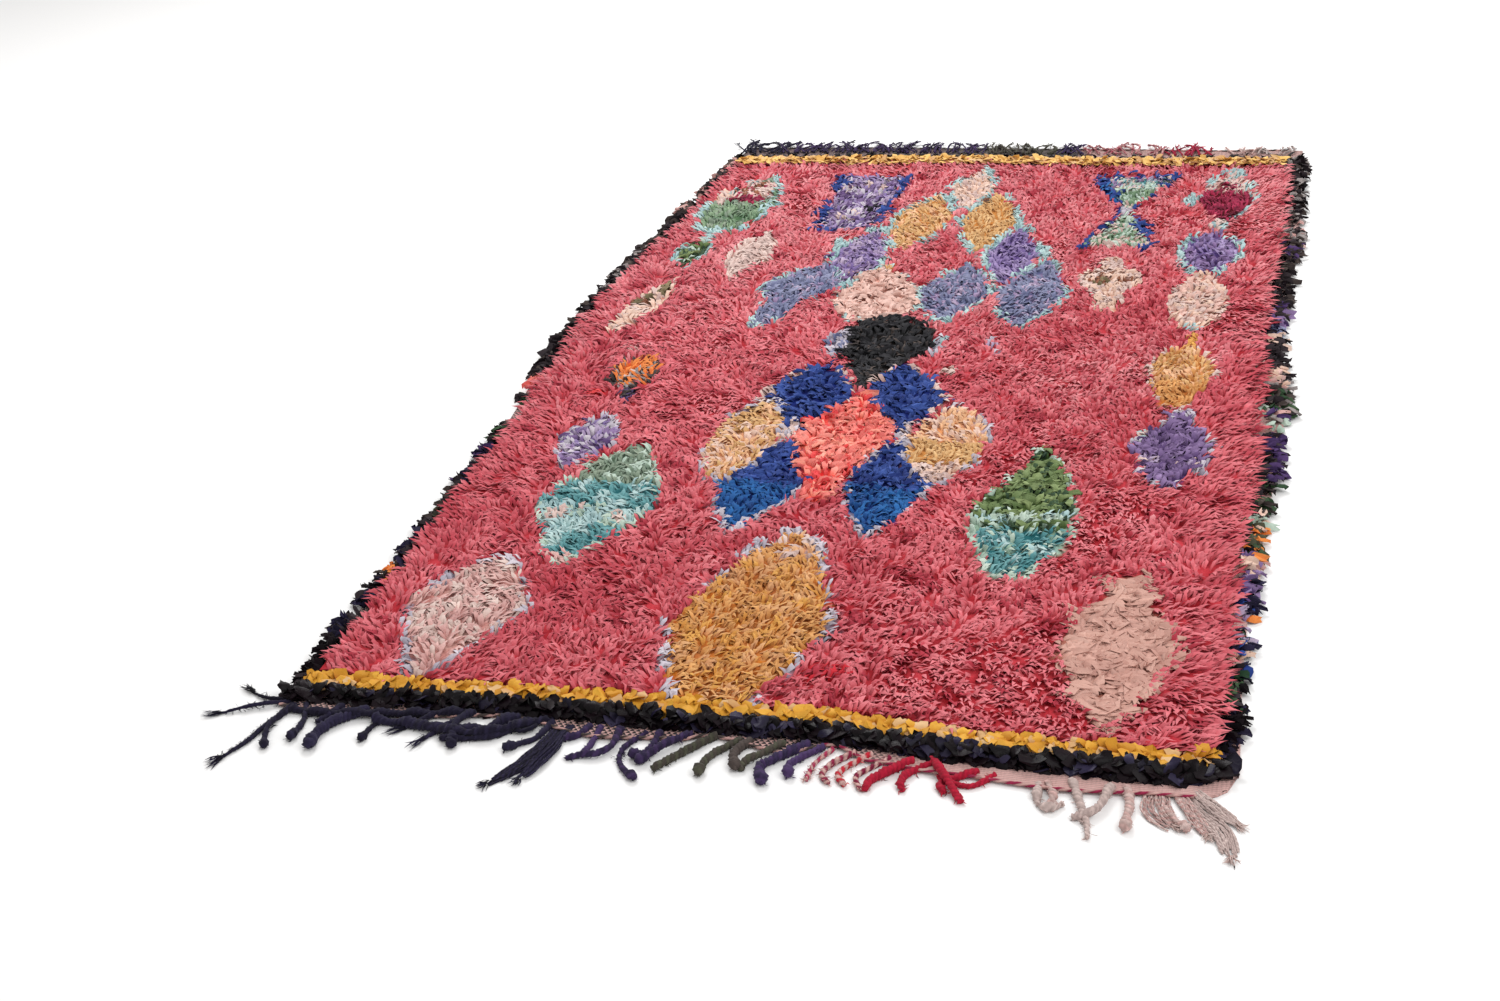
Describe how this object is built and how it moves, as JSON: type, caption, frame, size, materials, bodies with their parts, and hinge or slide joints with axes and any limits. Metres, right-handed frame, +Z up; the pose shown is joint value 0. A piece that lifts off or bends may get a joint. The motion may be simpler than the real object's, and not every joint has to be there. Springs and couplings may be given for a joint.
{
  "type": "rag rug",
  "caption": "Shaggy rag rug with a rose field of coloured lozenges, yellow and black end rows, dark edge rags and knotted cord fringes, lying flat.",
  "frame": {"origin": "on the floor, on the ground cloth's flat underside, midway between the two ends of the pile and on the rug's centre line", "axes": "+X across the rug to the right seen from its near end, +Y along the rug from its near end to its far end, +Z up"},
  "size_m": [1.5106, 2.8676, 0.0297],
  "materials": {
    "ground_weave": "plain woven wool, matte",
    "rose_rags": "cut cotton rag pile, matte",
    "yellow_rags": "wide crumpled rag petals, soft sheen",
    "black_rags": "wide crumpled rag petals, satin sheen",
    "edge_rags": "mixed dark cotton rags, matte",
    "fringe_cords": "soft twisted wool cord, matte"
  },
  "bodies": {
    "root": {"ground_cloth": "ground_weave", "field_pile": "rose_rags", "near_yellow_row": "yellow_rags", "far_yellow_row": "yellow_rags", "near_black_row": "black_rags", "far_black_row": "black_rags", "left_side_row": "edge_rags", "right_side_row": "edge_rags", "near_fringe": "fringe_cords", "far_fringe": "fringe_cords"}
  },
  "joints": []
}
